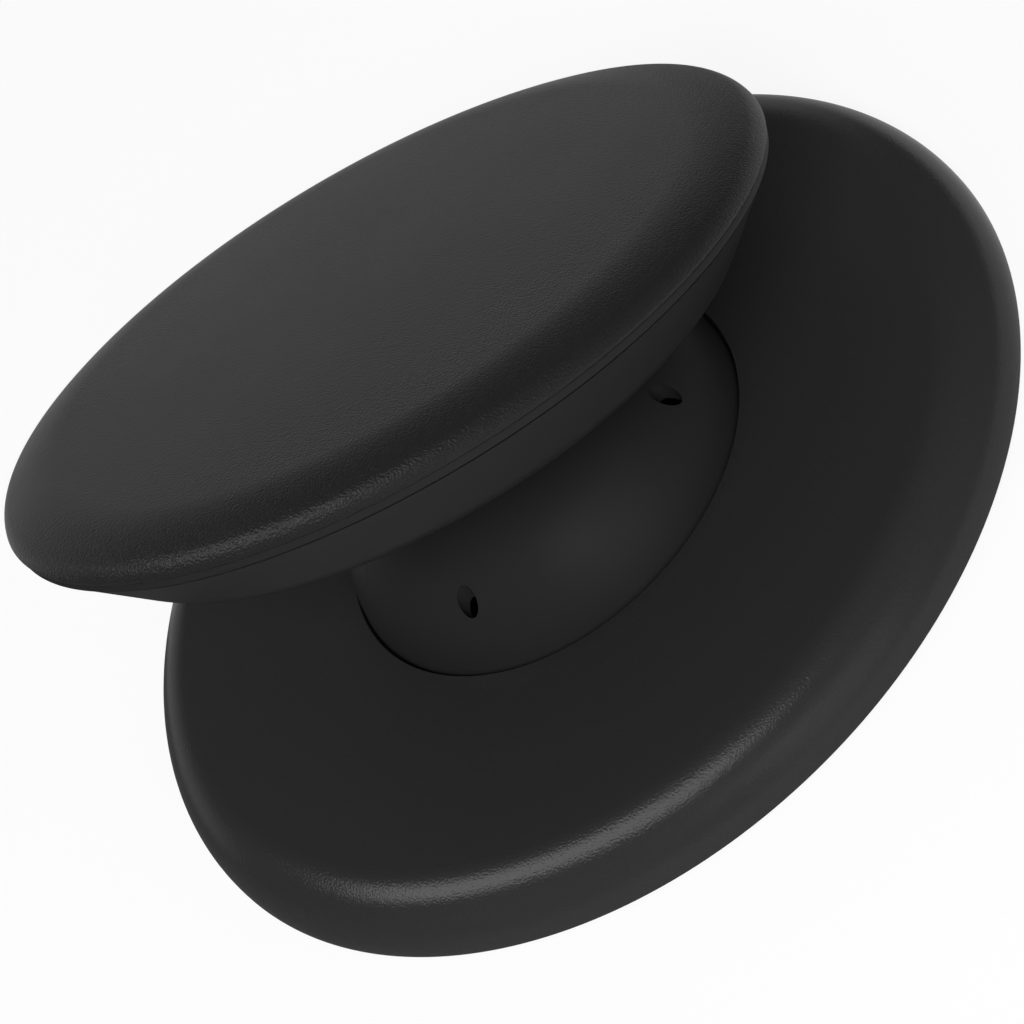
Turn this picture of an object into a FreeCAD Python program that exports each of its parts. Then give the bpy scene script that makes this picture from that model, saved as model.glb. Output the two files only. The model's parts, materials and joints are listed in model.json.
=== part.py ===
import math
import os

import FreeCAD
import Part

os.makedirs("parts", exist_ok=True)

V = FreeCAD.Vector

# Driving dimensions, in millimetres. The origin is the middle of the phone side, +Z is the base's axis.
BASE_R = 30.0             # outer radius of the base at its bottom edge
BASE_CREST_Z = 3.5        # highest circle of the base
RIM_W = 3.7               # radial width of the rounded rim
OPEN_R = 13.67            # opening in the base that the hub turns in
OPEN_Z = 3.12             # height of the base at that opening
HUB_GAP = 0.2             # visible running gap round the hub
TOP_R = 23.8              # radius of the bowl's upper edge
LEAN_DEG = 19.85          # lean of the top in the rest pose
EDGE_BREAK = 0.1          # small chamfer on outside edges
LIP_BREAK = 0.05          # chamfer on the edge of the opening

# Base stack, from the phone upwards
PAD_T = 0.5               # contact pad
PLATE_T = 0.6             # base plate
MAGNET_T = 1.0
SHIELD_T = 0.4
SKIRT_T = 1.2             # cover's skirt round the plate and pad
SKIRT_CLEAR = 0.1         # plate and pad to the skirt
MAGNET_INSET = 1.3        # magnets to the inside of the skirt
MAGNET_W = 4.5            # radial width of the magnet ring
MAGNET_COUNT = 16
MAGNET_SPLIT = 0.3        # space between neighbouring magnets
POCKET_CLEAR = 0.2        # magnets to the cover's pocket, radially
ROOF_CLEAR = 0.05         # shield to the pocket's roof
SPIGOT_T = 1.2            # wall of the ring that centres the hub
SPIGOT_H = 1.5
SPIGOT_CLEAR = 0.5        # spigot to the hub, and to the glide ring
GLIDE_T = 0.3             # glide ring under the hub's flange
TURN_CLEAR = 0.1          # flat faces that turn over each other
FLANGE_LAP = 1.53         # hub's flange under the cover's lip
FLANGE_T = 0.75
FLANGE_CLEAR = 0.4        # flange to the cover, radially

# Hub
CROWN_FLAT_R = 3.76       # flat on top of the dome
DOME_DROP = 2.37          # centre of the dome's profile below the opening
DOME_WALL = 1.5
VENT_R = 0.64
VENT_INSET = 2.07         # vents inwards from the hub's edge
VENT_COUNT = 4
STUD_RISE = 8.255         # dome's top to the centre of the ball
BALL_R = 3.8
BALL_FLAT = 0.4           # flat on the ball, above its centre
NECK_R = 2.1
STUD_FOOT_INSET = 0.36    # stud's foot and washer inwards from the dome's flat
STUD_FOOT_T = 0.8
STUD_FLARE = 0.5          # chamfer between neck and foot
STUD_HOLE_R = 1.25        # hole in the dome's top
SCREW_R = 1.0             # stud screw
SCREW_CLEAR = 0.05
SCREW_HEAD_R = 1.9
SCREW_HEAD_T = 1.3
SCREW_GRIP = 3.6          # length of screw inside the stud
SCREW_END = 0.3           # free depth beyond a screw's tip
WASHER_T = 0.3
DRIVE_R = 0.75            # six-sided recess, to its corners
DRIVE_DEPTH = 0.7

# Top, measured from the ball's centre along the top's own axis
BOWL_DEPTH = 4.9
BOWL_FLANK_DEG = 46.4     # slope of the bowl's side
BOWL_ARC = 4.6            # rounding between side and floor
BOWL_WALL = 1.2
SWING_CLEAR = 1.15        # stud to the bowl's opening at full lean
BALL_CLEAR = 0.3          # seat to the ball
SEAT_DEG = 58.0           # seat's lower edge, from straight down
SEAT_SINK = 0.1           # seat's top below the bowl's edge
SEAT_WALL = 4.5
BOSS_W = 2.4              # ring on the bowl's floor that carries the seat
SEAT_SCREWS = 3
SEAT_SCREW_INSET = 1.3
SEAT_SCREW_R = 0.55
SEAT_HEAD_R = 1.0
SEAT_HEAD_T = 0.8
SEAT_SCREW_LENGTH = 2.6
SEAT_DRIVE_DEPTH = 0.4
CARRIER_T = 0.5           # carrier plate at its rim
CARRIER_PROUD = 0.2       # carrier beyond the bowl's edge
CARRIER_ROOF = 0.35       # carrier above the ball
CAVITY_CLEAR = 0.9        # room beside the ball under the carrier
CAVITY_DRAFT = 0.6
SHOULDER_W = 2.0          # slope up to the carrier's raised middle
RIB_W = 0.8               # carrier's locating rib
RIB_DEPTH = 1.1
RIB_CLEAR = 0.2           # rib to the inside of the bowl
PAD_PROUD = 0.2           # grip pad beyond the carrier
PAD_EDGE_R = 1.39         # rounding of the pad's edge
PAD_SIDE_DEG = 85.0       # tilt of the edge where it leaves the carrier, from the top's axis
PAD_TURN_DEG = 24.0       # tilt where the edge passes into the shoulder
PAD_SHOULDER_R = 9.15     # rounding of the shoulder
PAD_CROWN_DEG = 1.5       # tilt where the shoulder passes into the crown

# Worked out from the sizes above
LEAN = math.radians(LEAN_DEG)
SKIRT_R = BASE_R - SKIRT_T
MAGNET_RO = SKIRT_R - MAGNET_INSET
MAGNET_RI = MAGNET_RO - MAGNET_W
PLATE_Z = PAD_T + PLATE_T
MAGNET_Z = PLATE_Z + MAGNET_T
SHIELD_Z = MAGNET_Z + SHIELD_T
GLIDE_Z = PLATE_Z + GLIDE_T
FLANGE_Z = GLIDE_Z + TURN_CLEAR
FLANGE_TOP_Z = FLANGE_Z + FLANGE_T
LIP_Z = FLANGE_TOP_Z + TURN_CLEAR
FLANGE_R = OPEN_R + FLANGE_LAP
HUB_R = OPEN_R - HUB_GAP
DOME_ARC = math.hypot(HUB_R - CROWN_FLAT_R, DOME_DROP)
DOME_INNER = DOME_ARC - DOME_WALL
DOME_CENTRE_Z = OPEN_Z - DOME_DROP
DOME_TOP_Z = DOME_CENTRE_Z + DOME_ARC
DOME_ROOF_Z = DOME_TOP_Z - DOME_WALL
SPIGOT_Z = PLATE_Z + SPIGOT_H
SPIGOT_R = CROWN_FLAT_R + math.sqrt(DOME_INNER ** 2 - (SPIGOT_Z - DOME_CENTRE_Z) ** 2) - SPIGOT_CLEAR
PIVOT_Z = DOME_TOP_Z + STUD_RISE
STUD_FOOT_R = CROWN_FLAT_R - STUD_FOOT_INSET
SEAT_SPHERE = BALL_R + BALL_CLEAR
SEAT_LOW_Z = -SEAT_SPHERE * math.cos(math.radians(SEAT_DEG))
SEAT_R = SEAT_SPHERE + SEAT_WALL
SEAT_SCREW_PITCH_R = SEAT_R - SEAT_SCREW_INSET
SEAT_HEAD_Z = -SEAT_SINK - SEAT_HEAD_T
CARRIER_R = TOP_R + CARRIER_PROUD
CAVITY_R = BALL_R + CAVITY_CLEAR
CAVITY_Z = BALL_R * math.cos(math.acos(BALL_FLAT / BALL_R) - LEAN) + BALL_CLEAR
PAD_R = CARRIER_R + PAD_PROUD


def point(r, z):
    return V(r, 0, z)


def on_arc(centre, radius, degrees):
    """Point on an arc, at an angle from straight down towards the outside."""
    angle = math.radians(degrees)
    return (centre[0] + radius * math.sin(angle), centre[1] - radius * math.cos(angle))


def arc(a, b, c):
    return Part.Arc(point(*a), point(*b), point(*c)).toShape()


def chain(*points):
    return [Part.makeLine(point(*a), point(*b)) for a, b in zip(points, points[1:])]


def turned(edges):
    """Solid of revolution about Z from a closed outline in the XZ plane."""
    face = Part.Face(Part.Wire(edges))
    return face.revolve(V(0, 0, 0), V(0, 0, 1), 360)


def ring(r_in, r_out, z_low, z_high):
    outer = Part.makeCylinder(r_out, z_high - z_low, V(0, 0, z_low))
    return outer.cut(Part.makeCylinder(r_in, z_high - z_low, V(0, 0, z_low)))


def disc(r, z_low, z_high):
    return Part.makeCylinder(r, z_high - z_low, V(0, 0, z_low))


def hexagon(r, z_low, depth, x=0.0):
    corners = []
    for i in range(7):
        angle = math.radians(60 * i)
        corners.append(V(x + r * math.cos(angle), r * math.sin(angle), z_low))
    return Part.Face(Part.makePolygon(corners)).extrude(V(0, 0, depth))


def around(shape, count, start=0.0):
    """Copies of a shape, evenly spaced about Z."""
    copies = []
    for i in range(count):
        copy = shape.copy()
        copy.rotate(V(0, 0, 0), V(0, 0, 1), start + 360.0 * i / count)
        copies.append(copy)
    return copies


def leaned(shape):
    """Moves a piece of the top from its own frame to the rest pose."""
    shape.rotate(V(0, 0, 0), V(1, 0, 0), -LEAN_DEG)
    shape.translate(V(0, 0, PIVOT_Z))
    return shape


def base_cover():
    """Cover with a rounded rim, a top that falls gently to the hub, and a pocket for the magnets."""
    crest_r = BASE_R - RIM_W
    lip_r = OPEN_R + LIP_BREAK
    middle = ((crest_r + lip_r) / 2, BASE_CREST_Z - (BASE_CREST_Z - OPEN_Z) / 4)
    ellipse = Part.Ellipse(point(BASE_R, 0), point(crest_r, BASE_CREST_Z), point(crest_r, 0))
    start = math.asin(EDGE_BREAK / BASE_CREST_Z)
    rim = Part.ArcOfEllipse(ellipse, start, math.pi / 2).toShape()
    foot = rim.valueAt(rim.FirstParameter)
    roof = SHIELD_Z + ROOF_CLEAR
    edges = [rim, arc((crest_r, BASE_CREST_Z), middle, (lip_r, OPEN_Z))]
    edges += chain(
        (lip_r, OPEN_Z),
        (OPEN_R, OPEN_Z - LIP_BREAK),
        (OPEN_R, LIP_Z),
        (FLANGE_R + FLANGE_CLEAR, LIP_Z),
        (FLANGE_R + FLANGE_CLEAR, PLATE_Z),
        (MAGNET_RI - POCKET_CLEAR, PLATE_Z),
        (MAGNET_RI - POCKET_CLEAR, roof),
        (MAGNET_RO + POCKET_CLEAR, roof),
        (MAGNET_RO + POCKET_CLEAR, PLATE_Z),
        (SKIRT_R, PLATE_Z),
        (SKIRT_R, 0),
        (BASE_R - EDGE_BREAK, 0),
        (foot.x, foot.z),
    )
    return turned(edges)


def base_plate():
    sheet = disc(SKIRT_R - SKIRT_CLEAR, PAD_T, PLATE_Z)
    spigot = ring(SPIGOT_R - SPIGOT_T, SPIGOT_R, PLATE_Z, SPIGOT_Z)
    return sheet.fuse(spigot).removeSplitter()


def magnet():
    """One arc magnet, centred on +X, with flat ends half a split from the dividing planes."""
    body = ring(MAGNET_RI, MAGNET_RO, PLATE_Z, MAGNET_Z)
    half = math.radians(180.0 / MAGNET_COUNT)
    reach = 2 * MAGNET_RO
    for side in (1, -1):
        normal = V(-math.sin(half), side * math.cos(half), 0)
        along = V(math.cos(half), side * math.sin(half), 0)
        start = normal * (-MAGNET_SPLIT / 2) + V(0, 0, PLATE_Z)
        corners = [start - along * reach, start + along * reach]
        corners += [corners[1] + normal * reach, corners[0] + normal * reach, corners[0]]
        body = body.cut(Part.Face(Part.makePolygon(corners)).extrude(V(0, 0, MAGNET_T)))
    return body


def hub_dome():
    """Hollow dome on a flange that runs under the cover's lip, with a ring of vents."""
    centre = (CROWN_FLAT_R, DOME_CENTRE_Z)
    inner_r = CROWN_FLAT_R + math.sqrt(DOME_INNER ** 2 - (FLANGE_Z - DOME_CENTRE_Z) ** 2)
    edges = chain(
        (inner_r, FLANGE_Z),
        (FLANGE_R, FLANGE_Z),
        (FLANGE_R, FLANGE_TOP_Z),
        (HUB_R, FLANGE_TOP_Z),
        (HUB_R, OPEN_Z),
    )
    edges.append(arc((HUB_R, OPEN_Z), on_arc(centre, DOME_ARC, 135), (CROWN_FLAT_R, DOME_TOP_Z)))
    edges += chain(
        (CROWN_FLAT_R, DOME_TOP_Z),
        (STUD_HOLE_R, DOME_TOP_Z),
        (STUD_HOLE_R, DOME_ROOF_Z),
        (CROWN_FLAT_R, DOME_ROOF_Z),
    )
    edges.append(arc((CROWN_FLAT_R, DOME_ROOF_Z), on_arc(centre, DOME_INNER, 135), (inner_r, FLANGE_Z)))
    dome = turned(edges)
    vent = Part.makeCylinder(VENT_R, DOME_ARC, V(HUB_R - VENT_INSET, 0, FLANGE_TOP_Z))
    for hole in around(vent, VENT_COUNT):
        dome = dome.cut(hole)
    return dome


def ball_stud():
    """Turned stud: foot, neck and a ball with a flat on top, bored for its screw from below."""
    foot_z = DOME_TOP_Z + STUD_FOOT_T
    under_z = PIVOT_Z - math.sqrt(BALL_R ** 2 - NECK_R ** 2)
    flat_z = PIVOT_Z + BALL_FLAT
    flat_r = math.sqrt(BALL_R ** 2 - BALL_FLAT ** 2)
    edges = chain(
        (flat_r, flat_z),
        (0, flat_z),
        (0, DOME_TOP_Z),
        (STUD_FOOT_R, DOME_TOP_Z),
        (STUD_FOOT_R, foot_z - EDGE_BREAK),
        (STUD_FOOT_R - EDGE_BREAK, foot_z),
        (NECK_R + STUD_FLARE, foot_z),
        (NECK_R, foot_z + STUD_FLARE),
        (NECK_R, under_z),
    )
    edges.append(arc((NECK_R, under_z), (BALL_R, PIVOT_Z), (flat_r, flat_z)))
    bore = Part.makeCylinder(SCREW_R + SCREW_CLEAR, SCREW_GRIP + SCREW_END, V(0, 0, DOME_TOP_Z))
    return turned(edges).cut(bore)


def stud_screw():
    seat_z = DOME_ROOF_Z - WASHER_T
    head_z = seat_z - SCREW_HEAD_T
    screw = disc(SCREW_HEAD_R, head_z, seat_z).fuse(disc(SCREW_R, seat_z, DOME_TOP_Z + SCREW_GRIP))
    return screw.removeSplitter().cut(hexagon(DRIVE_R, head_z, DRIVE_DEPTH))


def bowl_side(offset):
    """Corner points of the bowl's side, moved inwards: rim, end, middle and foot of the rounding."""
    flank = math.radians(BOWL_FLANK_DEG)
    rounding_top_z = BOWL_ARC * (1 - math.cos(flank)) - BOWL_DEPTH
    centre_r = TOP_R + (EDGE_BREAK + rounding_top_z) / math.tan(flank) - BOWL_ARC * math.sin(flank)
    centre = (centre_r, BOWL_ARC - BOWL_DEPTH)
    radius = BOWL_ARC - offset
    end = on_arc(centre, radius, BOWL_FLANK_DEG)
    rim_z = -EDGE_BREAK if offset == 0 else 0.0
    rim = (end[0] + (rim_z - end[1]) / math.tan(flank), rim_z)
    return rim, end, on_arc(centre, radius, BOWL_FLANK_DEG / 2), on_arc(centre, radius, 0)


def seat_screw_hole():
    depth = SEAT_HEAD_T + SEAT_SCREW_LENGTH + SEAT_SINK + SCREW_END
    return Part.makeCylinder(SEAT_SCREW_R + SCREW_CLEAR, depth, V(SEAT_SCREW_PITCH_R, 0, -depth))


def top_bowl():
    rim, end, middle, foot = bowl_side(0)
    in_rim, in_end, in_middle, in_foot = bowl_side(BOWL_WALL)
    open_r = (NECK_R + SWING_CLEAR + BOWL_DEPTH * math.sin(LEAN)) / math.cos(LEAN)
    edges = [arc(end, middle, foot), arc(in_foot, in_middle, in_end)]
    edges += chain(
        foot,
        (open_r, foot[1]),
        (open_r, in_foot[1]),
        (SEAT_R - BOSS_W, in_foot[1]),
        (SEAT_R - BOSS_W, SEAT_LOW_Z),
        (SEAT_R, SEAT_LOW_Z),
        (SEAT_R, in_foot[1]),
        in_foot,
    )
    edges += chain(in_end, in_rim, (TOP_R - EDGE_BREAK, 0), rim, end)
    bowl = turned(Part.__sortEdges__(edges))
    for hole in around(seat_screw_hole(), SEAT_SCREWS, 90):
        bowl = bowl.cut(hole)
    return leaned(bowl)


def ball_seat():
    """Ring with a spherical seat that holds the ball from below, sunk for its screws."""
    low = on_arc((0, 0), SEAT_SPHERE, SEAT_DEG)
    middle = on_arc((0, 0), SEAT_SPHERE, (SEAT_DEG + 90) / 2)
    high = (math.sqrt(SEAT_SPHERE ** 2 - SEAT_SINK ** 2), -SEAT_SINK)
    edges = [arc(low, middle, high)]
    edges += chain(high, (SEAT_R, -SEAT_SINK), (SEAT_R, SEAT_LOW_Z), low)
    body = turned(edges)
    sink = Part.makeCylinder(SEAT_HEAD_R + SCREW_CLEAR, -SEAT_HEAD_Z, V(SEAT_SCREW_PITCH_R, 0, SEAT_HEAD_Z))
    for hole in around(sink.fuse(seat_screw_hole()), SEAT_SCREWS, 90):
        body = body.cut(hole)
    return leaned(body)


def seat_screw():
    place = V(SEAT_SCREW_PITCH_R, 0, 0)
    head = Part.makeCylinder(SEAT_HEAD_R, SEAT_HEAD_T, place + V(0, 0, SEAT_HEAD_Z))
    shank = Part.makeCylinder(SEAT_SCREW_R, SEAT_SCREW_LENGTH, place + V(0, 0, SEAT_HEAD_Z - SEAT_SCREW_LENGTH))
    drive = hexagon(SEAT_SCREW_R, -SEAT_SINK - SEAT_DRIVE_DEPTH, SEAT_DRIVE_DEPTH, SEAT_SCREW_PITCH_R)
    return head.fuse(shank).removeSplitter().cut(drive)


def carrier_middle():
    """Raised middle of the carrier, shared with the pad's underside: foot and shoulder."""
    shoulder_r = CAVITY_R + CARRIER_ROOF + CAVITY_DRAFT
    return (shoulder_r + SHOULDER_W, CARRIER_T), (shoulder_r, CAVITY_Z + CARRIER_ROOF)


def top_carrier():
    """Plate that closes the bowl; its rim shows as a thin ring under the pad."""
    rim_r = CARRIER_R - EDGE_BREAK
    flank = math.radians(BOWL_FLANK_DEG)
    rib_r = bowl_side(BOWL_WALL)[0][0] - RIB_DEPTH / math.tan(flank) - RIB_CLEAR
    foot, shoulder = carrier_middle()
    edges = chain(
        (0, CAVITY_Z),
        (CAVITY_R, CAVITY_Z),
        (CAVITY_R + CAVITY_DRAFT, 0),
        (rib_r - RIB_W, 0),
        (rib_r - RIB_W, -RIB_DEPTH),
        (rib_r, -RIB_DEPTH),
        (rib_r, 0),
        (rim_r, 0),
        (CARRIER_R, EDGE_BREAK),
        (CARRIER_R, CARRIER_T - EDGE_BREAK),
        (rim_r, CARRIER_T),
        foot,
        shoulder,
        (0, shoulder[1]),
        (0, CAVITY_Z),
    )
    return leaned(turned(edges))


def tangent_arc(start, radius, high, low):
    """Start, middle and end of an arc that begins at a point and turns inwards between two tilts."""
    centre = (start[0] - radius * math.sin(math.radians(high)), start[1] - radius * math.cos(math.radians(high)))
    return start, on_arc(centre, radius, 180 - (high + low) / 2), on_arc(centre, radius, 180 - low)


def grip_pad():
    """Pad whose rounded edge, shoulder and shallow crown are three tangent arcs."""
    edge = tangent_arc((PAD_R, CARRIER_T), PAD_EDGE_R, PAD_SIDE_DEG, PAD_TURN_DEG)
    shoulder = tangent_arc(edge[2], PAD_SHOULDER_R, PAD_TURN_DEG, PAD_CROWN_DEG)
    crown_r = shoulder[2][0] / math.sin(math.radians(PAD_CROWN_DEG))
    crown = tangent_arc(shoulder[2], crown_r, PAD_CROWN_DEG, 0)
    top = (0, crown[2][1])
    step_low, step_high = carrier_middle()
    edges = [arc(*edge), arc(*shoulder), arc(crown[0], crown[1], top)]
    edges += chain(top, (0, step_high[1]), step_high, step_low, (PAD_R, CARRIER_T))
    return leaned(turned(edges))


def main():
    pieces = {
        "contact_pad": disc(SKIRT_R - SKIRT_CLEAR, 0, PAD_T),
        "base_plate": base_plate(),
        "base_cover": base_cover(),
        "shield_ring": ring(MAGNET_RI, MAGNET_RO, MAGNET_Z, SHIELD_Z),
        "glide_ring": ring(SPIGOT_R + SPIGOT_CLEAR, FLANGE_R, PLATE_Z, GLIDE_Z),
        "hub_dome": hub_dome(),
        "ball_stud": ball_stud(),
        "stud_washer": ring(SCREW_R + SCREW_CLEAR, STUD_FOOT_R, DOME_ROOF_Z - WASHER_T, DOME_ROOF_Z),
        "stud_screw": stud_screw(),
        "top_bowl": top_bowl(),
        "ball_seat": ball_seat(),
        "top_carrier": top_carrier(),
        "grip_pad": grip_pad(),
    }
    for i, piece in enumerate(around(magnet(), MAGNET_COUNT)):
        pieces["magnet_%02d" % (i + 1)] = piece
    for i, piece in enumerate(around(seat_screw(), SEAT_SCREWS, 90)):
        pieces["seat_screw_%d" % (i + 1)] = leaned(piece)
    for name, shape in pieces.items():
        if not shape.isValid() or len(shape.Solids) != 1:
            raise ValueError("%s is not one valid solid" % name)
        shape.Solids[0].exportStep("parts/%s.step" % name)


main()
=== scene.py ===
import json
import math

import bmesh
import bpy
from mathutils import Matrix, Vector


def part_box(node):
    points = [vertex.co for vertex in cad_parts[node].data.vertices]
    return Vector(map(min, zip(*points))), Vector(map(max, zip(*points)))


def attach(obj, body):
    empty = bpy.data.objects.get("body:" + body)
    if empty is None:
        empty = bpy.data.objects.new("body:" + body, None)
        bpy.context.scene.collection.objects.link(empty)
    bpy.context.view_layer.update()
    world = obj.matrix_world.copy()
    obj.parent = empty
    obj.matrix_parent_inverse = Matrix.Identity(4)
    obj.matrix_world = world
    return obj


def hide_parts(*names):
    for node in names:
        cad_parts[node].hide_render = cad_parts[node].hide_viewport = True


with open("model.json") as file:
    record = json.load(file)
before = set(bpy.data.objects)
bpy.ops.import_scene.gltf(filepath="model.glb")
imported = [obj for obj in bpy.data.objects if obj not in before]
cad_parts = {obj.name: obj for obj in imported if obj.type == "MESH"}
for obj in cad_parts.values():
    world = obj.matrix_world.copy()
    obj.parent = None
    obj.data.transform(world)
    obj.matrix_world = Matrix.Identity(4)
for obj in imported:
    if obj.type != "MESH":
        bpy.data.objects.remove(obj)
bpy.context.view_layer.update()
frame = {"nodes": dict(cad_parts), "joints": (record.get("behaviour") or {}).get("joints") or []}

MM = 0.001
ROUND = 256               # steps round a turned piece
EVEN_ANGLES = [2 * math.pi * i / ROUND for i in range(ROUND)]
SMOOTH_DEG = 32           # edges up to this angle are shaded smooth
ON_AXIS = 1e-6            # smaller radii count as points on the axis

# Directions in the plane of a profile
OUT = 0.0
UP = math.pi / 2
IN = math.pi
DOWN = -math.pi / 2

# Sizes read from the frame, in millimetres like those below
JOINTS = {joint["name"]: joint for joint in frame["joints"]}
LEAN = math.radians(JOINTS["top_lean"]["range_deg"][1] / 2)
PIVOT_Z = JOINTS["top_lean"]["pos_m"][2] / MM
SKIRT_T = 1.2             # cover's skirt round the contact pad
SKIRT_CLEAR = 0.1
BASE_R = round(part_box("contact_pad")[1][0] / MM + SKIRT_T + SKIRT_CLEAR, 2)
BASE_CREST_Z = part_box("base_cover")[1][2] / MM
DOME_TOP_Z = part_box("hub_dome")[1][2] / MM

# Base cover and contact pad
EDGE = 0.1                # small breaks on outside edges
RIM_W = 3.7               # radial width of the rounded rim
OPEN_R = 13.67            # opening that the hub turns in
OPEN_Z = 3.12             # height of the cover at the opening
LIP = 0.05                # break on the edge of the opening
SKIRT_R = BASE_R - SKIRT_T
PLATE_Z = 1.1             # underside of the cover
POCKET_RI = 22.8          # room for the magnets
POCKET_RO = 27.7
POCKET_Z = 2.55
SHEET_R = SKIRT_R - SKIRT_CLEAR
SHEET_T = 0.5
SHEET_EDGE_R = 0.12
GROOVE_R = 20.0           # fine moulded ring on the phone side
GROOVE_HALF_W = 0.2
GROOVE_DEPTH = 0.12

# Hub
HUB_GAP = 0.2             # running gap round the hub
HUB_R = OPEN_R - HUB_GAP
CROWN_FLAT_R = 3.76       # flat on top of the dome
DOME_DROP = 2.37          # centre of the dome's profile below the opening
DOME_CENTRE = (CROWN_FLAT_R, OPEN_Z - DOME_DROP)
DOME_ARC = DOME_TOP_Z - OPEN_Z + DOME_DROP
DOME_WALL = 1.5
SKIN_T = 0.85             # dome's wall in a ring round the vents
RECESS = (28.0, 52.0)     # ends of that ring, in degrees above the profile's centre
STUD_HOLE_R = 1.25
FLANGE_LAP = 1.53         # flange under the cover's lip
FLANGE_R = OPEN_R + FLANGE_LAP
FLANGE_CLEAR = 0.4        # flange to the cover, radially
FLANGE_LOW_Z = 1.5
FLANGE_TOP_Z = 2.25
TURN_CLEAR = 0.1          # flange to the cover's lip above it
VENT_R = 0.64
VENT_INSET = 2.07         # vents inwards from the hub's edge
VENT_PITCH_R = HUB_R - VENT_INSET
VENT_COUNT = 4
VENT_SIDES = 48
DRILL_Z = FLANGE_TOP_Z + 5.0  # middle of the tool that cuts a vent
DRILL_LENGTH = 8.0
SLIVER = 0.001            # shorter edges, left by cutting the vents, are closed up
PARTING_DEG = 45.0        # mould's parting line, halfway between vents
PARTING_HALF_W = 0.05
PARTING_DEPTH = 0.04
ON_SKIN = 1e-3            # tolerances in finding the parting line's points
ON_SEAM = 1e-4
BALL_R = 3.8
BALL_FLAT = 0.4           # flat on the ball, above its centre
NECK_R = 2.1
STUD_FOOT_R = 3.4
STUD_FOOT_T = 0.8
STUD_FLARE = 0.5          # rounding between neck and foot
BORE_R = 1.05             # for the screw in the stud
BORE_DEPTH = 3.9

# Top, with heights from the pivot along its own axis
TOP_R = 23.8              # bowl's upper edge
BOWL_DEPTH = 4.9
BOWL_FLANK = math.radians(46.4)
BOWL_ARC = 4.6            # rounding between side and floor
BOWL_WALL = 1.2
BOWL_OPEN_R = 5.22        # opening in the floor for the stud
SHADOW_GAP = 0.12         # open line between the bowl's rim and the carrier
SHADOW_DEPTH = 0.45
SEAM = 0.06               # fine break on the bowl's rim
SEAM_MIDDLE = 0.3         # share of that break at its middle point
BOSS_RI = 6.2             # ring on the bowl's floor under the seat
BOSS_RO = 8.6
BOSS_Z = -2.173
CARRIER_PROUD = 0.2       # carrier beyond the bowl's edge
CARRIER_R = TOP_R + CARRIER_PROUD
CARRIER_T = 0.5
CAVITY_R = 4.7            # room for the ball under the carrier
CAVITY_DRAFT = 0.6
CAVITY_Z = 1.96
MIDDLE_R = 5.65           # carrier's raised middle, at its top and its foot
MIDDLE_FOOT_R = 7.65
MIDDLE_Z = 2.31
RIB_R = 21.0              # carrier's locating rib
RIB_W = 0.8
RIB_DEPTH = 1.1
PAD_PROUD = 0.2           # pad beyond the carrier
PAD_R = CARRIER_R + PAD_PROUD
PAD_TUCK = 0.14           # how far the pad's lower edge is rounded in
PAD_TUCK_STEPS = 3        # steps of the edge that this rounding takes the place of
PAD_EDGE_R = 1.39         # rounding of the pad's edge
PAD_SHOULDER_R = 9.15     # rounding of its shoulder
PAD_SIDE = 85.0           # tilts of the pad's surface from the top's axis, in degrees
PAD_TURN = 24.0
PAD_CROWN = 1.5

# Surfaces
COOL = 1.02               # trace of blue in every grey
NOISE_REACH = (0.3, 0.7)  # where most of a noise lies
GRAIN_REACH = (0.4, 0.8)  # where most of the grain lies
GRAIN_TINT = 0.07         # share by which the grain lightens and darkens a sheet
CELL_SIZE = 1.3           # cells of the grain against its noise, in size and in height
CELL_SHARE = 0.2
CELL_SMOOTHNESS = 0.6

# Camera: the photograph's view, from a fit to the outlines
CAMERA_AT = Vector((102.6, -106.4, 122.0)) * MM
CAMERA_RIGHT = Vector((0.8099, 0.1693, -0.5616))
CAMERA_UP = Vector((0.2028, 0.8176, 0.5390))
CAMERA_BACK = CAMERA_RIGHT.cross(CAMERA_UP)
CAMERA_LENS = 112.7
CAMERA_SENSOR = 36.0
CAMERA_NEAR = 0.01        # metres

# Studio, in metres, degrees and levels of white
UPRIGHT = Vector((0, 0, 1))
LAMP_AWAY = 0.5
FILL = 0.38               # even light from all round
WALL_FOOT = 0.328         # bright wall that shows in gloss, at its foot
WALL_BEND = 0.296         # the same wall where it begins to fade
WALL_BEND_DEG = 18.0
WALL_END_DEG = 23.5       # where it has faded out
WALL_REST = 0.064         # what gloss shows beside and above it
PANEL_AZ = 140.0          # middle of the wall, and of a bright panel on the floor before it
PANEL_CUT = (0.74, 0.82)  # cosines of the angles where both fade out and where they are full
PANEL = 0.36              # level of that panel
CARD_AZ = 5.0             # way towards a pale card on the floor, which shows in gloss
CARD_REACH = (-0.015, 0.03)  # where the card begins and where it is full
CARD = (0.06, 0.5)        # levels before the card and on it
FLOOR_REACH = 3.0
FLOOR_DROP = 0.0001       # floor below the part, so that their faces don't meet
FLOOR_WHITE = 0.9
FLOOR_GLOSS = 0.95        # share of card and panel in what gloss shows of the floor
FLOOR_SEEN = 0.85         # share of plain white in what the camera sees of it


def placed(name, data):
    item = bpy.data.objects.new(name, data)
    bpy.context.scene.collection.objects.link(item)
    return item


def smooth(piece):
    piece.data.shade_smooth()
    piece.data.set_sharp_from_angle(angle=math.radians(SMOOTH_DEG))


def sweep(centre, radii, start, end, steps):
    """Points on an elliptical arc in the profile plane."""
    points = []
    for i in range(steps + 1):
        angle = start + (end - start) * i / steps
        out, up = radii[0] * math.cos(angle), radii[1] * math.sin(angle)
        points.append((centre[0] + out, centre[1] + up))
    return points


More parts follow.
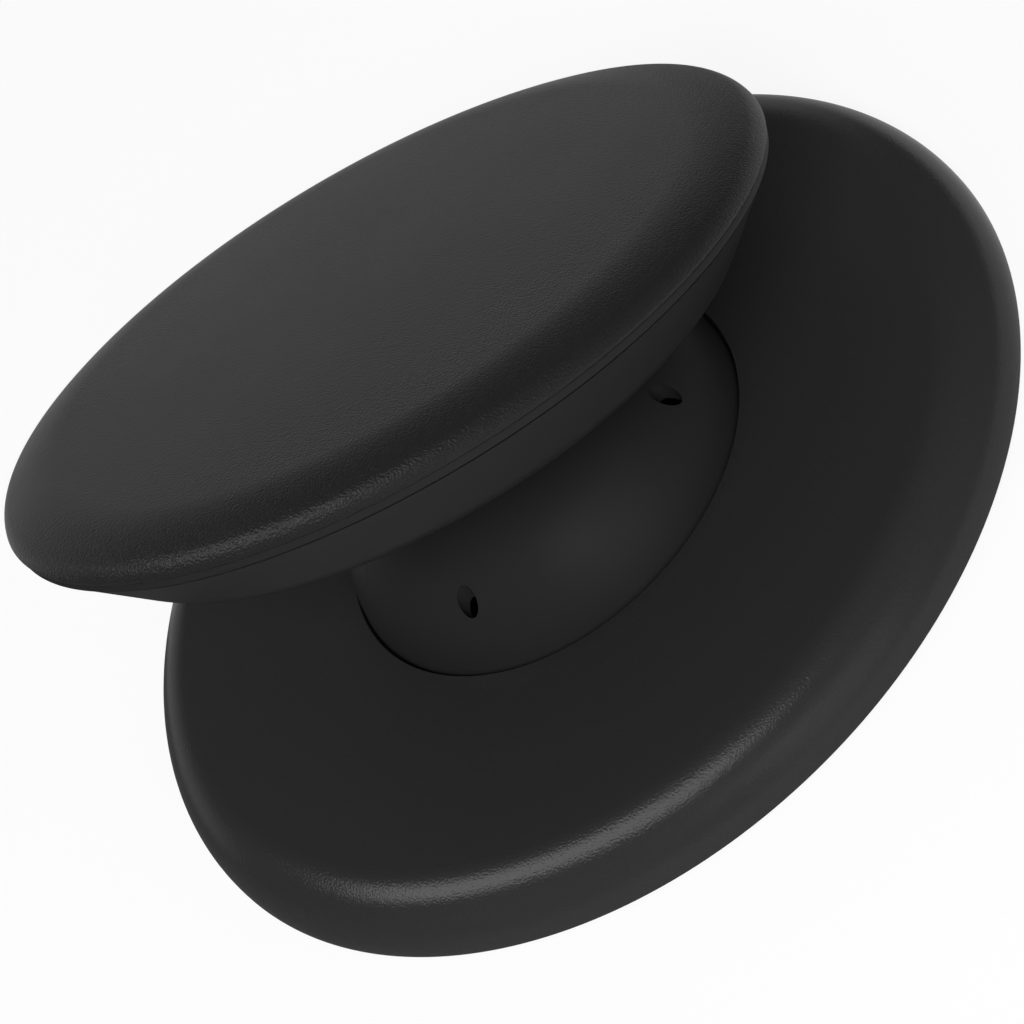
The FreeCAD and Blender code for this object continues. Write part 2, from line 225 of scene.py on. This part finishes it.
def tangent_arc(start, radius, high, low, steps):
    """Arc that begins at a point and turns inwards between two tilts, in degrees."""
    tilt = math.radians(high)
    centre = (start[0] - radius * math.sin(tilt), start[1] - radius * math.cos(tilt))
    return sweep(centre, (radius, radius), math.radians(90 - high), math.radians(90 - low), steps)


def turned(name, profile, lean=False, closed=True, angles=EVEN_ANGLES):
    """Piece turned from a profile of (radius, height) about the base's axis or the top's own."""
    count = len(angles)
    mesh = bmesh.new()
    rings = []
    for radius, height in profile:
        if radius < ON_AXIS:
            rings.append([mesh.verts.new((0, 0, height * MM))] * count)
            continue
        ring = []
        for angle in angles:
            place = Vector((radius * math.cos(angle), radius * math.sin(angle), height))
            ring.append(mesh.verts.new(place * MM))
        rings.append(ring)
    pairs = list(zip(rings, rings[1:]))
    if closed:
        pairs.append((rings[-1], rings[0]))
    for low, high in pairs:
        for i in range(count):
            j = (i + 1) % count
            corners = []
            for vert in (low[i], low[j], high[j], high[i]):
                if vert not in corners:
                    corners.append(vert)
            if len(corners) > 2:
                mesh.faces.new(corners)
    bmesh.ops.recalc_face_normals(mesh, faces=mesh.faces[:])
    data = bpy.data.meshes.new(name)
    mesh.to_mesh(data)
    mesh.free()
    if lean:
        pivot = Matrix.Translation((0, 0, PIVOT_Z * MM))
        data.transform(pivot @ Matrix.Rotation(-LEAN, 4, "X"))
    piece = placed(name, data)
    smooth(piece)
    return piece


def base_cover():
    """Cover with an elliptical rim and a top that falls gently towards the opening."""
    crest_r = BASE_R - RIM_W
    low = math.asin(EDGE / BASE_CREST_Z)
    profile = sweep((crest_r, 0), (RIM_W, BASE_CREST_Z), low, UP, steps=28)
    lip_r = OPEN_R + LIP
    fall = BASE_CREST_Z - OPEN_Z
    steps = 12
    for i in range(1, steps + 1):
        part = i / steps
        profile.append((crest_r + (lip_r - crest_r) * part, BASE_CREST_Z - fall * part ** 2))
    profile += sweep((lip_r, OPEN_Z - LIP), (LIP, LIP), UP, IN, steps=4)[1:]
    lip_z = FLANGE_TOP_Z + TURN_CLEAR
    room_r = FLANGE_R + FLANGE_CLEAR
    profile += [(OPEN_R, lip_z), (room_r, lip_z), (room_r, PLATE_Z)]
    profile += [(POCKET_RI, PLATE_Z), (POCKET_RI, POCKET_Z)]
    profile += [(POCKET_RO, POCKET_Z), (POCKET_RO, PLATE_Z)]
    profile += [(SKIRT_R, PLATE_Z), (SKIRT_R, 0.0), (BASE_R - EDGE, 0.0)]
    return turned("base_cover_skin", profile)


def contact_pad():
    """Soft sheet on the phone side, with a rounded edge and a fine ring moulded in."""
    edge = (SHEET_R - SHEET_EDGE_R, SHEET_EDGE_R)
    profile = [(0, SHEET_T), (SHEET_R, SHEET_T)]
    profile += sweep(edge, (SHEET_EDGE_R, SHEET_EDGE_R), OUT, DOWN, steps=4)
    profile += sweep((GROOVE_R, 0.0), (GROOVE_HALF_W, GROOVE_DEPTH), OUT, IN, steps=8)
    profile.append((0, 0))
    return turned("contact_pad_sheet", profile, closed=False)


def hub_dome():
    """Domed shell on a flange, thin where the vents are, with its mould's parting line."""
    inner = DOME_ARC - DOME_WALL
    thin = DOME_ARC - SKIN_T
    low, high = (math.radians(end) for end in RECESS)
    skin_foot = math.asin(DOME_DROP / DOME_ARC)
    inner_foot = math.asin((FLANGE_LOW_Z - DOME_CENTRE[1]) / inner)
    profile = [(FLANGE_R, FLANGE_LOW_Z), (FLANGE_R, FLANGE_TOP_Z), (HUB_R, FLANGE_TOP_Z)]
    profile += sweep(DOME_CENTRE, (DOME_ARC, DOME_ARC), skin_foot, UP, steps=56)
    profile += [(STUD_HOLE_R, DOME_TOP_Z), (STUD_HOLE_R, DOME_TOP_Z - DOME_WALL)]
    profile += sweep(DOME_CENTRE, (inner, inner), UP, high, steps=20)
    profile += sweep(DOME_CENTRE, (thin, thin), high, low, steps=12)
    profile += sweep(DOME_CENTRE, (inner, inner), low, inner_foot, steps=12)
    seams = [math.radians(PARTING_DEG) + math.pi * i for i in range(2)]
    dome = turned("hub_dome_shell", profile, angles=parted_angles(seams))
    press_parting_line(dome, seams)
    for i in range(VENT_COUNT):
        angle = 2 * math.pi * i / VENT_COUNT
        drill(dome, VENT_PITCH_R * math.cos(angle), VENT_PITCH_R * math.sin(angle))
    close_slivers(dome)
    smooth(dome)
    return dome


def parted_angles(seams):
    """Even steps round the dome, with close steps at the parting line on both sides."""
    half = PARTING_HALF_W / HUB_R
    angles = EVEN_ANGLES
    for seam in seams:
        angles = [angle for angle in angles if abs(angle - seam) > 2 * half]
        angles += [seam - half, seam, seam + half]
    return sorted(angles)


def press_parting_line(dome, seams):
    """Moves the outside points on the seams towards the centre of the dome's profile."""
    inwards = PARTING_DEPTH / DOME_ARC
    for vert in dome.data.vertices:
        radius = math.hypot(vert.co.x, vert.co.y) / MM
        out = radius - DOME_CENTRE[0]
        height = vert.co.z / MM - DOME_CENTRE[1]
        on_skin = out > 0 and abs(math.hypot(out, height) - DOME_ARC) < ON_SKIN
        angle = math.atan2(vert.co.y, vert.co.x) % (2 * math.pi)
        if on_skin and min(abs(angle - seam) for seam in seams) < ON_SEAM:
            vert.co.xy *= 1 - inwards * out / radius
            vert.co.z -= inwards * height * MM


def drill(piece, x, y):
    """Cuts one vent straight down through the dome's wall."""
    mesh = bmesh.new()
    bmesh.ops.create_cone(mesh, cap_ends=True, segments=VENT_SIDES, radius1=VENT_R * MM,
                          radius2=VENT_R * MM, depth=DRILL_LENGTH * MM)
    data = bpy.data.meshes.new("drill")
    mesh.to_mesh(data)
    mesh.free()
    tool = placed("drill", data)
    tool.location = Vector((x, y, DRILL_Z)) * MM
    cut = piece.modifiers.new("vent", "BOOLEAN")
    cut.operation = "DIFFERENCE"
    cut.object = tool
    cut.solver = "EXACT"
    bpy.context.view_layer.update()
    result = piece.evaluated_get(bpy.context.evaluated_depsgraph_get())
    shape = bpy.data.meshes.new_from_object(result)
    piece.modifiers.remove(cut)
    piece.data = shape
    bpy.data.objects.remove(tool)


def close_slivers(piece):
    mesh = bmesh.new()
    mesh.from_mesh(piece.data)
    bmesh.ops.dissolve_degenerate(mesh, dist=SLIVER * MM, edges=mesh.edges[:])
    mesh.to_mesh(piece.data)
    mesh.free()


def ball_stud():
    """Stud with a foot on the dome, a neck and the ball that the top leans on."""
    foot_z = DOME_TOP_Z + STUD_FOOT_T
    bore_z = DOME_TOP_Z + BORE_DEPTH
    flare = (NECK_R + STUD_FLARE, foot_z + STUD_FLARE)
    ball_low = -math.acos(NECK_R / BALL_R)
    ball_high = math.asin(BALL_FLAT / BALL_R)
    profile = [(0, bore_z), (BORE_R, bore_z), (BORE_R, DOME_TOP_Z)]
    profile += [(STUD_FOOT_R, DOME_TOP_Z), (STUD_FOOT_R, foot_z - EDGE), (STUD_FOOT_R - EDGE, foot_z)]
    profile += sweep(flare, (STUD_FLARE, STUD_FLARE), DOWN, -IN, steps=8)
    profile += sweep((0, PIVOT_Z), (BALL_R, BALL_R), ball_low, ball_high, steps=28)
    profile.append((0, PIVOT_Z + BALL_FLAT))
    return turned("ball_stud_turned", profile, closed=False)


def bowl_side(offset):
    """The bowl's side moved inwards, from its rim down to the floor."""
    arc_top = BOWL_ARC * (1 - math.cos(BOWL_FLANK)) - BOWL_DEPTH
    flank_foot_r = TOP_R + (EDGE + arc_top) / math.tan(BOWL_FLANK)
    centre = (flank_foot_r - BOWL_ARC * math.sin(BOWL_FLANK), BOWL_ARC - BOWL_DEPTH)
    radius = BOWL_ARC - offset
    return sweep(centre, (radius, radius), BOWL_FLANK + DOWN, DOWN, steps=30)


def top_bowl():
    """Shell with a stepped rim, an opening for the stud and a ring that carries the seat."""
    step_r = TOP_R - SHADOW_DEPTH
    rim_r = TOP_R - (SHADOW_GAP - EDGE) / math.tan(BOWL_FLANK)
    middle = SEAM_MIDDLE * SEAM
    profile = [(step_r, 0), (step_r, -SHADOW_GAP), (rim_r - SEAM, -SHADOW_GAP)]
    profile.append((rim_r - middle, -SHADOW_GAP - middle))
    profile += bowl_side(0)
    low = -BOWL_DEPTH
    within = low + BOWL_WALL
    profile += [(BOWL_OPEN_R + EDGE, low), (BOWL_OPEN_R, low + EDGE), (BOWL_OPEN_R, within)]
    profile += [(BOSS_RI, within), (BOSS_RI, BOSS_Z), (BOSS_RO, BOSS_Z), (BOSS_RO, within)]
    inner = bowl_side(BOWL_WALL)
    inner_rim_r = inner[0][0] - inner[0][1] / math.tan(BOWL_FLANK)
    profile += list(reversed(inner)) + [(inner_rim_r, 0)]
    return turned("top_bowl_shell", profile, lean=True)


def top_carrier():
    """Plate that closes the bowl, raised in the middle over the ball."""
    rim_r = CARRIER_R - EDGE
    rib_in = RIB_R - RIB_W
    profile = [(0, CAVITY_Z), (CAVITY_R, CAVITY_Z), (CAVITY_R + CAVITY_DRAFT, 0)]
    profile += [(rib_in, 0), (rib_in, -RIB_DEPTH), (RIB_R, -RIB_DEPTH), (RIB_R, 0)]
    profile += sweep((rim_r, EDGE), (EDGE, EDGE), DOWN, OUT, steps=5)
    profile += sweep((rim_r, CARRIER_T - EDGE), (EDGE, EDGE), OUT, UP, steps=5)
    profile += [(MIDDLE_FOOT_R, CARRIER_T), (MIDDLE_R, MIDDLE_Z), (0, MIDDLE_Z)]
    return turned("top_carrier_plate", profile, lean=True, closed=False)


def grip_pad():
    """Pad with a rounded edge and a shoulder that pass into a shallow crown."""
    edge = tangent_arc((PAD_R, CARRIER_T), PAD_EDGE_R, PAD_SIDE, PAD_TURN, steps=20)
    edge = edge[PAD_TUCK_STEPS:]
    tuck_r, tuck_z = edge[0]
    tuck_radii = (PAD_TUCK, tuck_z - CARRIER_T)
    profile = [(0, MIDDLE_Z), (MIDDLE_R, MIDDLE_Z), (MIDDLE_FOOT_R, CARRIER_T)]
    profile += sweep((tuck_r - PAD_TUCK, tuck_z), tuck_radii, DOWN, OUT, steps=6)
    profile += edge[1:]
    profile += tangent_arc(profile[-1], PAD_SHOULDER_R, PAD_TURN, PAD_CROWN, steps=20)[1:]
    crown_tilt = math.radians(PAD_CROWN)
    crown_r = profile[-1][0] / math.sin(crown_tilt)
    crown_z = profile[-1][1] + crown_r * (1 - math.cos(crown_tilt))
    profile += tangent_arc(profile[-1], crown_r, PAD_CROWN, 0, steps=14)[1:-1]
    profile.append((0, crown_z))
    pad = turned("grip_pad_leather", profile, lean=True, closed=False)
    return pad


class Tree:
    """Node tree of a material or the world, with short calls for the nodes used here."""

    def __init__(self, owner):
        owner.use_nodes = True
        self.nodes = owner.node_tree.nodes
        self.links = owner.node_tree.links

    def add(self, kind, inputs=None, **settings):
        """New node. Each input, by name or number, gets a link or a constant."""
        node = self.nodes.new("ShaderNode" + kind)
        for name, value in settings.items():
            setattr(node, name, value)
        for key, value in (inputs or {}).items():
            if isinstance(value, bpy.types.NodeSocket):
                self.links.new(value, node.inputs[key])
            else:
                node.inputs[key].default_value = value
        return node

    def result(self, operation, *values):
        node = self.add("Math", dict(enumerate(values)), operation=operation)
        return node.outputs["Value"]

    def mapped(self, value, reach, levels):
        """A level that changes from one end of a reach to the other."""
        inputs = {"Value": value, "From Min": reach[0], "From Max": reach[1]}
        inputs.update({"To Min": levels[0], "To Max": levels[1]})
        return self.add("MapRange", inputs).outputs["Result"]


class Surface(Tree):
    """Principled material with short calls for its textures."""

    def __init__(self, name, colour, roughness, specular=0.5, metallic=0.0):
        self.material = bpy.data.materials.new(name)
        super().__init__(self.material)
        self.sockets = self.nodes["Principled BSDF"].inputs
        self.sockets["Base Color"].default_value = colour
        self.sockets["Roughness"].default_value = roughness
        self.sockets["Specular IOR Level"].default_value = specular
        self.sockets["Metallic"].default_value = metallic
        self.place = self.add("TexCoord").outputs["Object"]

    def noise(self, size_mm, detail):
        inputs = {"Vector": self.place, "Scale": 1.0 / (size_mm * MM), "Detail": detail}
        return self.add("TexNoise", inputs).outputs["Fac"]

    def cells(self, size_mm):
        inputs = {"Vector": self.place, "Scale": 1.0 / (size_mm * MM), "Smoothness": CELL_SMOOTHNESS}
        return self.add("TexVoronoi", inputs, feature="SMOOTH_F1").outputs["Distance"]

    def tint(self, value, low, high):
        """Colour between two greys."""
        mix = self.add("Mix", {"Factor": value, "A": grey(low), "B": grey(high)}, data_type="RGBA")
        self.links.new(mix.outputs["Result"], self.sockets["Base Color"])

    def rough(self, noise, low, high):
        """Roughness that wanders between two levels with a noise."""
        self.links.new(self.mapped(noise, NOISE_REACH, (low, high)), self.sockets["Roughness"])

    def bump(self, value, strength, depth_mm):
        inputs = {"Height": value, "Strength": strength, "Distance": depth_mm * MM}
        self.links.new(self.add("Bump", inputs).outputs["Normal"], self.sockets["Normal"])


def plain(level):
    return (level, level, level, 1.0)


def grey(level):
    return (level, level, level * COOL, 1.0)


def grained(name, level, roughness, grain_mm, depth_mm, specular):
    """Dark soft sheet with a fine leather-like grain."""
    surface = Surface(name, grey(level), roughness, specular)
    noise = surface.noise(grain_mm, detail=1.0)
    grain = surface.result("MULTIPLY_ADD", surface.cells(grain_mm * CELL_SIZE), CELL_SHARE, noise)
    surface.bump(grain, strength=1.0, depth_mm=depth_mm)
    high_places = surface.mapped(grain, GRAIN_REACH, (0.0, 1.0))
    surface.tint(high_places, level * (1 + GRAIN_TINT), level * (1 - GRAIN_TINT))
    surface.rough(surface.noise(size_mm=9.0, detail=3.0), roughness - 0.015, roughness + 0.015)
    return surface.material


def moulded(name, level, roughness, specular=0.4):
    """Smooth satin moulding with a trace of flow and a very fine texture."""
    surface = Surface(name, grey(level), roughness, specular)
    surface.bump(surface.noise(size_mm=0.12, detail=2.0), strength=0.25, depth_mm=0.006)
    surface.tint(surface.noise(size_mm=14.0, detail=3.0), level * 0.9, level * 1.1)
    surface.rough(surface.noise(size_mm=5.0, detail=4.0), roughness - 0.03, roughness + 0.04)
    return surface.material


def metal(name, colour, roughness):
    """Plain metal with fine marks."""
    surface = Surface(name, colour, roughness, metallic=1.0)
    surface.bump(surface.noise(size_mm=0.2, detail=3.0), strength=0.2, depth_mm=0.01)
    surface.rough(surface.noise(size_mm=1.2, detail=4.0), roughness - 0.05, roughness + 0.08)
    return surface.material


def coat(piece, material):
    piece.data.materials.clear()
    piece.data.materials.append(material)


def dress():
    """Makes the seven shaped pieces, and gives the solids that stay their materials."""
    leather = grained("pad_leather", level=0.0126, roughness=0.3,
                      grain_mm=0.13, depth_mm=0.052, specular=0.2)
    cover = grained("cover_grain", level=0.0214, roughness=0.17,
                    grain_mm=0.12, depth_mm=0.016, specular=0.26)
    # The hub, bowl and carrier are one satin plastic. The hub's level is set darker, as painted shade
    # against the camera fill that falls full on it. The bowl's is set lighter, as painted light
    # standing in for light from below.
    satin = moulded("hub_moulding", level=0.0135, roughness=0.45, specular=0.25)
    shell = moulded("bowl_moulding", level=0.0194, roughness=0.4, specular=0.2)
    ring = moulded("carrier_moulding", level=0.0140, roughness=0.45, specular=0.1)
    sheet = grained("contact_sheet", level=0.020, roughness=0.5,
                    grain_mm=0.25, depth_mm=0.03, specular=0.25)
    inner = moulded("inner_moulding", level=0.012, roughness=0.5)
    white = moulded("glide_plastic", level=0.7, roughness=0.4)
    steel = metal("plated_steel", (0.45, 0.45, 0.46, 1.0), roughness=0.32)
    nickel = metal("nickel", (0.6, 0.59, 0.57, 1.0), roughness=0.22)
    pieces = (
        (base_cover(), cover, "base", "base_cover", "base_cover"),
        (contact_pad(), sheet, "base", "contact_pad", "contact_pad"),
        (hub_dome(), satin, "hub", "hub", "hub_dome"),
        (ball_stud(), steel, "hub", "ball_stud", "ball_stud"),
        (top_bowl(), shell, "top", "bowl", "top_bowl"),
        (top_carrier(), ring, "top", "carrier", "top_carrier"),
        (grip_pad(), leather, "top", "grip_pad", "grip_pad"),
    )
    replaced = set()
    for piece, material, body, slot, node in pieces:
        coat(piece, material)
        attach(piece, body)
        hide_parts(node)
        replaced.add(node)
    plastics = {"base_plate": inner, "glide_ring": white, "ball_seat": inner}
    for name, node in frame["nodes"].items():
        if name not in replaced:
            coat(node, nickel if name.startswith("magnet") else plastics.get(name, steel))


class Backdrop(Tree):
    """Floor or world, which light the part, show in its gloss and are seen, each in its own way."""

    def __init__(self, owner):
        super().__init__(owner)
        self.nodes.clear()

    def along(self, vectors, azimuth, reach, levels):
        """A level that changes over a reach, measured along a level direction."""
        inputs = {0: vectors, 1: heading(azimuth, 0)}
        dot = self.add("VectorMath", inputs, operation="DOT_PRODUCT")
        return self.mapped(dot.outputs["Value"], reach, levels)

    def split(self, lights, shows, seen, show_share=1.0, seen_share=1.0):
        """What lights the part, mixed with what gloss or glass shows and what the camera sees."""
        path = self.add("LightPath").outputs
        gloss = self.result("MAXIMUM", path["Is Glossy Ray"], path["Is Transmission Ray"])
        layers = ((gloss, show_share, shows), (path["Is Camera Ray"], seen_share, seen))
        shader = lights
        for rays, share, other in layers:
            part = self.result("MULTIPLY", rays, share)
            shader = self.add("MixShader", {"Fac": part, 1: shader, 2: other}).outputs["Shader"]
        return shader


def heading(azimuth, elevation):
    """Unit vector towards a place in the studio, from angles in degrees."""
    a = math.radians(azimuth)
    e = math.radians(elevation)
    return Vector((math.cos(e) * math.cos(a), math.cos(e) * math.sin(a), math.sin(e)))


def floor():
    mesh = bpy.data.meshes.new("floor")
    signs = ((-1, -1), (1, -1), (1, 1), (-1, 1))
    mesh.from_pydata([(x * FLOOR_REACH, y * FLOOR_REACH, 0) for x, y in signs], [], [(0, 1, 2, 3)])
    plane = placed("floor", mesh)
    plane.location.z = -FLOOR_DROP
    material = bpy.data.materials.new("floor_white")
    tree = Backdrop(material)
    places = tree.add("TexCoord").outputs["Object"]
    ways = tree.add("VectorMath", {0: places}, operation="NORMALIZE").outputs["Vector"]
    card = tree.along(places, CARD_AZ, CARD_REACH, CARD)
    panel = tree.along(ways, PANEL_AZ, PANEL_CUT, (0.0, PANEL))
    paint = tree.add("BsdfDiffuse", {"Color": plain(FLOOR_WHITE)}).outputs["BSDF"]
    shine = tree.add("Emission", {"Strength": tree.result("ADD", card, panel)}).outputs["Emission"]
    white = tree.add("Emission").outputs["Emission"]
    tree.add("OutputMaterial", {"Surface": tree.split(paint, shine, white, FLOOR_GLOSS, FLOOR_SEEN)})
    mesh.materials.append(material)


def surroundings():
    """White to the camera, an even fill for the light, and one bright wall in the gloss."""
    world = bpy.data.worlds.new("studio")
    bpy.context.scene.world = world
    tree = Backdrop(world)
    directions = tree.add("TexCoord").outputs["Generated"]
    heights = tree.add("SeparateXYZ", {"Vector": directions}).outputs["Z"]
    wall = tree.add("ValToRGB", {"Fac": heights})
    stops = wall.color_ramp.elements
    stops[0].color = plain(WALL_FOOT)
    stops[1].position = math.sin(math.radians(WALL_END_DEG))
    stops[1].color = plain(0.0)
    stops.new(math.sin(math.radians(WALL_BEND_DEG))).color = plain(WALL_BEND)
    side = tree.along(directions, PANEL_AZ, PANEL_CUT, (0.0, 1.0))
    level = tree.result("MULTIPLY_ADD", wall.outputs["Color"], side, WALL_REST)
    fill = tree.add("Background", {"Color": plain(FILL)}).outputs["Background"]
    shine = tree.add("Background", {"Color": plain(1.0), "Strength": level}).outputs["Background"]
    white = tree.add("Background", {"Color": plain(1.0)}).outputs["Background"]
    tree.add("OutputWorld", {"Surface": tree.split(fill, shine, white)})


def lamp(name, towards, length_way, size, level):
    """Flat soft lamp; level is how it lights a white surface that faces it."""
    light = bpy.data.lights.new(name, "AREA")
    light.shape = "RECTANGLE"
    light.size, light.size_y = size
    light.energy = level * (math.pi * LAMP_AWAY) ** 2
    holder = placed(name, light)
    across = towards.cross(length_way).normalized()
    turn = Matrix((across.cross(towards), across, towards)).transposed()
    holder.matrix_world = Matrix.Translation(towards * LAMP_AWAY) @ turn.to_4x4()
    return holder


def lamps():
    """A strip for the streaks on the edges, a front light, and fills that don't show in gloss."""
    strip_way = heading(178, 42) - heading(-100, 82)
    strip = lamp("strip_softbox", heading(-147, 65), strip_way, size=(0.5, 0.19), level=0.43)
    strip.visible_diffuse = False
    lamp("front_softbox", heading(-35, 28), UPRIGHT, size=(0.36, 0.3), level=0.06)
    left_below = 0.15 * CAMERA_RIGHT + 0.12 * CAMERA_UP
    beside_camera = (CAMERA_BACK - left_below).normalized()
    fills = (
        lamp("camera_fill", beside_camera, CAMERA_UP, size=(0.2, 0.2), level=0.78),
        lamp("low_fill", heading(-46, 7), UPRIGHT, size=(0.3, 0.05), level=0.15),
        lamp("left_fill", heading(-125, 30), UPRIGHT, size=(0.2, 0.2), level=0.14),
    )
    for fill in fills:
        fill.visible_glossy = False


def camera():
    data = bpy.data.cameras.new("photo_view")
    data.lens = CAMERA_LENS
    data.sensor_width = CAMERA_SENSOR
    data.clip_start = CAMERA_NEAR
    holder = placed("photo_view", data)
    turn = Matrix((CAMERA_RIGHT, CAMERA_UP, CAMERA_BACK)).transposed()
    holder.matrix_world = Matrix.Translation(CAMERA_AT) @ turn.to_4x4()
    bpy.context.scene.camera = holder


dress()
floor()
surroundings()
lamps()
camera()
bpy.context.scene.view_settings.view_transform = "Standard"
